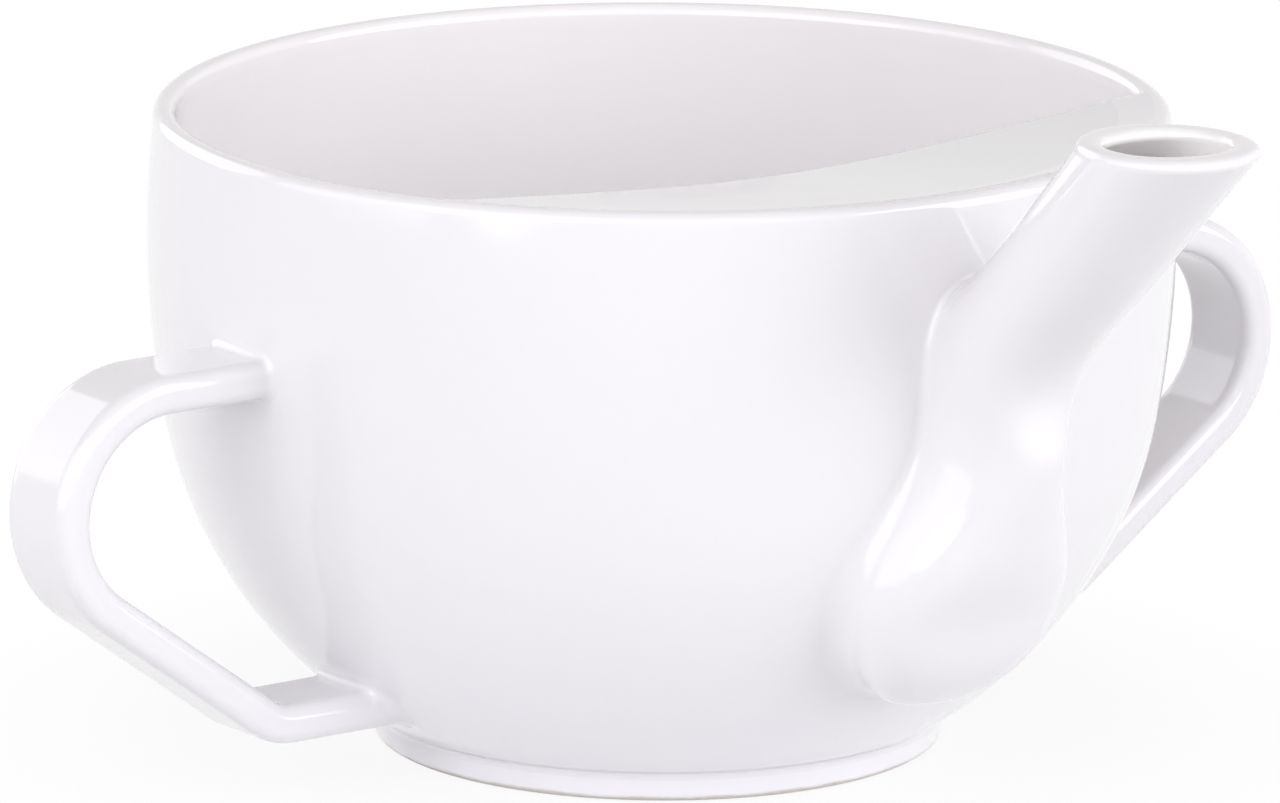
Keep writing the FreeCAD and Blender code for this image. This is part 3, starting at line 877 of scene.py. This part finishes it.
def spoutSkin(stations, row, across):
    # conic quarters: with t along a quarter, x = ((2w t(1-t) + t^2) / d) half width and
    # y = (((1-t)^2 + 2w t(1-t)) / d) half depth, where d = (1-t)^2 + 2w t(1-t) + t^2;
    # across is 0 in front, 1 at the side and 2 behind
    v = smoothThrough(spoutKnots, stations, row)
    across = (across + 2) % 4 - 2
    p = np.abs(across)
    t = np.where(p > 1, p - 1, p)
    w = v[..., 6]
    cross = 2 * w * t * (1 - t)
    d = (1 - t) ** 2 + cross + t**2
    far, close = (cross + t**2) / d, ((1 - t) ** 2 + cross) / d
    x = np.where(p > 1, close, far) * v[..., 4] * np.where(across < 0, -1, 1)
    y = np.where(p > 1, -far, close) * v[..., 5]
    side = unit(v[..., 2:4])
    return np.stack([x, -(v[..., 0] + side[..., 0] * y), v[..., 1] + side[..., 1] * y], axis=-1)


def halved(test, low, high, turns=40):
    # whole arrays of intervals halved towards where test turns from true (low) to false (high)
    low, high = low + 0.0 * high, high + 0.0 * low
    for _ in range(turns):
        middle = (low + high) / 2
        good = test(middle)
        low, high = np.where(good, middle, low), np.where(good, high, middle)
    return (low + high) / 2


def spoutGrid(stations):
    # root rows end on the wall (across = the crossing), tube rows close behind and tilt to the
    # level mouth
    low, high = np.array(0.0), np.array(spoutKnots[bulbRow])
    tail = halved(lambda q: outOfWall(spoutSkin(stations, q, 0 * q)) < 0, low, high)
    low, high = np.array(spoutKnots[bulbRow + 1]), np.array(spoutKnots[tubeRow])
    knee = halved(lambda q: outOfWall(spoutSkin(stations, q, 0 * q + 2)) < 0, low, high)
    u = np.linspace(0, 1, spoutSize["rootRows"])
    q = tail + (knee - tail) * (1 - np.cos(math.pi * u)) / 2
    crossing = halved(lambda p: outOfWall(spoutSkin(stations, q, p)) > 0, 0 * q, 0 * q + 2)
    crossing[0], crossing[-1] = 0.0, 2.0
    t = np.linspace(-1, 1, spoutSize["columns"])[None, :]
    rootQ, rootP = q[:, None] + 0 * t, crossing[:, None] * t
    lipStart = spoutSize["mouthHeight"] - spoutSize["lipRound"]
    endP = 2 * t[0]
    low, high = 0 * endP + spoutKnots[tubeRow], 0 * endP + spoutKnots[-1]
    endQ = halved(lambda e: spoutSkin(stations, e, endP)[..., 2] < lipStart, low, high)
    k = np.linspace(0, 1, spoutSize["tubeRows"])[1:, None]
    tubeQ, tubeP = knee + (endQ[None, :] - knee) * k, endP[None, :] + 0 * k
    allQ, allP = np.concatenate([rootQ, tubeQ]), np.concatenate([rootP, tubeP])
    return spoutSkin(stations, allQ, allP), q, crossing


def makeSpout():
    # outer skin up, lip over, bore down: one grid; strips along the wall join the two skins' edges
    outer, q, crossing = spoutGrid(spoutOuter)
    inner, _, _ = spoutGrid(spoutInner)
    turn = np.linspace(0, math.pi, spoutSize["lipRows"] + 2)[1:-1, None, None]
    middle, half = (outer[-1] + inner[-1]) / 2, (outer[-1] - inner[-1]) / 2
    power = 2 / spoutSize["lipFullness"]
    lip = middle + half * np.sign(np.cos(turn)) * np.abs(np.cos(turn)) ** power
    lip = lip + np.array([0, 0, spoutSize["lipRound"]]) * np.sin(turn) ** power
    grid = np.concatenate([outer, lip, inner[::-1]])
    rows, columns = grid.shape[:2]
    # painted light: this mask turns on the paler colour over the lip and down the bore
    paintedLightShare = np.clip((np.arange(rows) - len(outer)) / len(lip), 0, 1)[:, None] + np.zeros(columns)
    faces = gridFaces(rows, columns)
    i = np.arange(spoutSize["rootRows"] - 1)
    strips = []
    for column, flip in ((0, False), (columns - 1, True)):
        a, b = i * columns + column, (i + 1) * columns + column
        c, d = (rows - 2 - i) * columns + column, (rows - 1 - i) * columns + column
        strip = np.stack([a, b, c, d], axis=-1)
        strips.append(strip[:, ::-1] if flip else strip)
    return grid, np.concatenate([faces] + strips), paintedLightShare, q, crossing


points, faces, paintedLightShare, seamRows, seamAcross = makeSpout()
makePiece("spoutTube", points, faces, "spout", spoutGlaze, softAngle, paintedLightShare)
seamQ = np.concatenate([seamRows, seamRows[-2:0:-1]])
seamP = np.concatenate([seamAcross, -seamAcross[-2:0:-1]])
seamHeight = spoutSkin(spoutOuter, seamQ, seamP)[:, 2]
# the seam widens down the spout by the smooth step 3s^2 - 2s^3
share = np.clip((spoutSize["tubeRootHeight"] - seamHeight) / spoutSize["slipFadeHeight"], 0, 1)
widening = spoutSize["tailSlip"] - spoutSize["slip"]
seamWidth = spoutSize["slip"] + widening * share**2 * (3 - 2 * share)
points, faces = slipBand(lambda a, b: spoutSkin(spoutOuter, a, b), seamQ, seamP, seamWidth)
makePiece("spoutSeam", points, faces, "spout_slip", slipGlaze, softAngle)
print("spout made")


handleSize = {
    "width": 9.9,
    "thickness": 3.8,
    "edgeRound": 1.4,
    "topHeight": 42.6,
    "bendRadius": 11.4,
    "bendCentre": 60.3,
    "slope": 36.0,
    "footHeight": 8.3,
    "footBend": 5.5,
    "upperSlip": 0.9,
    "lowerSlip": 1.6,
    "sink": 0.4,  # how far both ends go into the wall
    "upperSearch": 12.0,  # the stretches of the line in which it crosses the wall
    "lowerSearch": 25.0,
    "rows": 260,
    "columns": 96,
    "bendSteps": 1500,
    "slopeSteps": 900,
    "levelSteps": 400,
    "cornerSteps": 60,
}


def handleLine():
    # level run, round bend, straight slope, small bend, level run into the wall: dense (x, z)
    h = handleSize
    slope = math.radians(h["slope"])
    centre = np.array([h["bendCentre"], h["topHeight"] - h["bendRadius"]])
    bend = arcPoints(centre, h["bendRadius"], math.pi / 2, slope - math.pi / 2, h["bendSteps"])
    cornerX = bend[-1, 0] - (bend[-1, 1] - h["footHeight"]) / math.tan(slope)
    cutBack = h["footBend"] * math.tan(slope / 2)
    footCentre = np.array([cornerX - cutBack, h["footHeight"] + h["footBend"]])
    count = h["levelSteps"]
    footBend = arcPoints(footCentre, h["footBend"], slope - math.pi / 2, -math.pi / 2, count)
    start = np.array([wallPlace(np.array(h["topHeight"]))[0] - h["thickness"], h["topHeight"]])
    end = np.array([wallPlace(np.array(h["footHeight"]))[0] - 2 * h["thickness"], h["footHeight"]])
    return np.concatenate([
        np.linspace(start, bend[0], count),
        bend[1:-1],
        np.linspace(bend[-1], footBend[0], h["slopeSteps"]),
        footBend[1:-1],
        np.linspace(footBend[-1], end, count),
    ])


handleX, handleZ = handleLine().T
handleLength = np.r_[0, np.cumsum(np.hypot(np.diff(handleX), np.diff(handleZ)))]
handleTurn = np.unwrap(np.arctan2(np.gradient(handleZ), np.gradient(handleX)))


def strapOutline():
    # rectangle with quarter-circle corners, as dense points (across, out) and their lengths
    h, corners = handleSize, []
    flat = np.array([h["width"] / 2, h["thickness"] / 2]) - h["edgeRound"]
    for quarter, signs in enumerate(((1, 1), (-1, 1), (-1, -1), (1, -1))):
        start, end = quarter * math.pi / 2, (quarter + 1) * math.pi / 2
        corners.append(arcPoints(flat * signs, h["edgeRound"], start, end, h["cornerSteps"]))
    line = np.concatenate(corners + [corners[0][:1]])
    return line, np.r_[0, np.cumsum(np.linalg.norm(np.diff(line, axis=0), axis=1))]


strapLine, strapLength = strapOutline()


def strapSkin(along, around):
    # centre(along) + out(around) normal + across(around) Y; the normal is the line turned left
    around = around % 1.0 * strapLength[-1]
    x, z, turn = (np.interp(along, handleLength, v) for v in (handleX, handleZ, handleTurn))
    across, out = (np.interp(around, strapLength, strapLine[:, n]) for n in (0, 1))
    return np.stack([x - np.sin(turn) * out, across, z + np.cos(turn) * out], axis=-1)


def makeStrap():
    # the strap from where it leaves the wall above to where it enters it below, sunk at both ends
    h, end = handleSize, handleLength[-1]
    around = np.arange(h["columns"]) / h["columns"]
    none = 0 * around
    upper = halved(lambda a: outOfWall(strapSkin(a, around)) < 0, none, none + h["upperSearch"])
    lower = none + end - h["lowerSearch"]
    lower = halved(lambda a: outOfWall(strapSkin(a, around)) > 0, lower, none + end)
    k = np.linspace(0, 1, h["rows"])[:, None]
    rows = upper - h["sink"] + (lower - upper + 2 * h["sink"]) * k
    grid = strapSkin(rows, around[None, :] + 0 * k)
    ends = [np.broadcast_to(grid[n].mean(0), grid[n].shape) for n in (0, -1)]
    grid = np.concatenate([ends[0][None], grid, ends[1][None]])
    return grid, gridFaces(len(grid), grid.shape[1], closeColumns=True), around, upper, lower


points, faces, around, upper, lower = makeStrap()
upperSlip = slipBand(strapSkin, upper, around, handleSize["upperSlip"])
lowerSlip = slipBand(strapSkin, lower, around, handleSize["lowerSlip"])
for side, sign in (("left", -1), ("right", 1)):
    mirror = np.array([sign, 1, 1])
    node = side + "_handle"
    makePiece(side + "Strap", points * mirror, faces, node, wallGlaze, softAngle)
    for name, (band, quads) in (("upper", upperSlip), ("lower", lowerSlip)):
        label, slip = side + name.capitalize() + "Seam", node + "_" + name + "_slip"
        makePiece(label, band * mirror, quads, slip, slipGlaze, softAngle)
print("handles made")


studio = {
    # lengths here are metres
    "floorReach": 6.0,
    "floorColour": (0.86, 0.86, 0.87, 1.0),
    "worldColour": (1.0, 0.86, 0.80, 1.0),
    "worldLevel": 0.20,
    "shadowShare": 0.13,
    "shadowStart": 0.03,
    "shadowEnd": 0.08,
    "floorGap": 0.00003,
    "lampColour": (0.955, 0.965, 1.0),
    "lampSize": 1.2,
    "lampDistance": 1.3,
    "lampAim": 0.03,
    "lamps": (
        # azimuth from the camera and elevation (degrees), watts
        (70, 17, 11.4),
        (35, 25, 2.4),
        (0, 26, 2.5),
        (-35, 24, 7.2),
        (-70, 17, 4.0),
        (-130, 15, 4.4),
        (130, 15, 1.0),
    ),
}


def seenDirectly(nodes, links):
    # 1 for camera, glossy and transmission rays, 0 for the light that falls on things
    path = nodes.new("ShaderNodeLightPath").outputs
    either = calculated(nodes, links, "ADD", path["Is Camera Ray"], path["Is Glossy Ray"])
    seen = calculated(nodes, links, "ADD", either, path["Is Transmission Ray"])
    seen.node.use_clamp = True
    return seen


def makeFloor():
    # pale paper that takes the soft shadow near the piece and is seen as white further out
    mesh = bpy.data.meshes.new("floor")
    reach, low = studio["floorReach"], -studio["floorGap"]
    corners = [(x * reach, y * reach, low) for x, y in ((-1, -1), (1, -1), (1, 1), (-1, 1))]
    mesh.from_pydata(corners, [], [(0, 1, 2, 3)])
    floor = bpy.data.objects.new("floor", mesh)
    bpy.context.collection.objects.link(floor)
    material = bpy.data.materials.new("paperFloor")
    material.use_nodes = True
    nodes, links = material.node_tree.nodes, material.node_tree.links
    nodes.remove(nodes["Principled BSDF"])
    paper = nodes.new("ShaderNodeBsdfDiffuse")
    paper.inputs["Color"].default_value = studio["floorColour"]
    white = nodes.new("ShaderNodeEmission")
    place = nodes.new("ShaderNodeTexCoord")
    length = nodes.new("ShaderNodeVectorMath")
    length.operation = "LENGTH"
    links.new(place.outputs["Object"], length.inputs[0])
    fade = studio["shadowStart"], studio["shadowEnd"]
    whiteness = 1 - studio["shadowShare"], 1.0
    far = ranged(nodes, links, length.outputs["Value"], fade, whiteness, "SMOOTHSTEP")
    share = calculated(nodes, links, "MULTIPLY", far, seenDirectly(nodes, links))
    blend = nodes.new("ShaderNodeMixShader")
    links.new(share, blend.inputs["Fac"])
    links.new(paper.outputs[0], blend.inputs[1])
    links.new(white.outputs[0], blend.inputs[2])
    links.new(blend.outputs[0], nodes["Material Output"].inputs["Surface"])
    mesh.materials.append(material)


def makeWorld():
    # white where it is seen, a dim warm fill where it lights
    world = bpy.data.worlds.new("whiteStudio")
    world.use_nodes = True
    nodes, links = world.node_tree.nodes, world.node_tree.links
    background = nodes["Background"]
    seen = seenDirectly(nodes, links)
    tint = mixed(nodes, links, seen, studio["worldColour"], (1.0, 1.0, 1.0, 1.0))
    links.new(tint, background.inputs["Color"])
    level = ranged(nodes, links, seen, (0.0, 1.0), (studio["worldLevel"], 1.0))
    links.new(level, background.inputs["Strength"])
    bpy.context.scene.world = world


cameraFit = {
    # degrees, metres; the lens in millimetres
    "azimuth": -36.491,
    "elevation": 13.443,
    "distance": 1.25,
    "right": -0.001963,
    "up": 0.032925,
    "roll": 0.38968,
    "lens": 360.17,
}


def towards(azimuth, elevation):
    # from the object to a viewer: (sin a cos e, -cos a cos e, sin e)
    a, e = math.radians(azimuth), math.radians(elevation)
    return Vector((math.sin(a) * math.cos(e), -math.cos(a) * math.cos(e), math.sin(e)))


def makeLights():
    # round discs at one distance from the middle of the piece, each facing it
    middle = Vector((0, 0, studio["lampAim"]))
    for n, (turn, elevation, power) in enumerate(studio["lamps"]):
        back = towards(cameraFit["azimuth"] + turn, elevation)
        lamp = bpy.data.lights.new("softLight%d" % n, "AREA")
        lamp.shape = "DISK"
        lamp.size = studio["lampSize"]
        lamp.color = studio["lampColour"]
        lamp.energy = power
        holder = bpy.data.objects.new(lamp.name, lamp)
        bpy.context.collection.objects.link(holder)
        holder.location = middle + back * studio["lampDistance"]
        holder.rotation_euler = back.to_track_quat("Z", "Y").to_euler()


def makeCamera():
    # target = right along the camera's right + up along Z; the camera stands back from it by the
    # distance, and its frame is rolled about the line of view
    a, roll = math.radians(cameraFit["azimuth"]), math.radians(cameraFit["roll"])
    back = towards(cameraFit["azimuth"], cameraFit["elevation"])
    right = Vector((math.cos(a), math.sin(a), 0))
    up = back.cross(right)
    target = right * cameraFit["right"] + Vector((0, 0, cameraFit["up"]))
    turnedRight = right * math.cos(roll) + up * math.sin(roll)
    turnedUp = up * math.cos(roll) - right * math.sin(roll)
    data = bpy.data.cameras.new("view")
    data.lens = cameraFit["lens"]
    camera = bpy.data.objects.new("view", data)
    bpy.context.collection.objects.link(camera)
    frameMatrix = Matrix((turnedRight, turnedUp, back)).transposed().to_4x4()
    frameMatrix.translation = target + back * cameraFit["distance"]
    camera.matrix_world = frameMatrix
    bpy.context.scene.camera = camera


makeFloor()
makeWorld()
makeLights()
makeCamera()
bpy.context.scene.view_settings.view_transform = "Standard"
print("studio made")
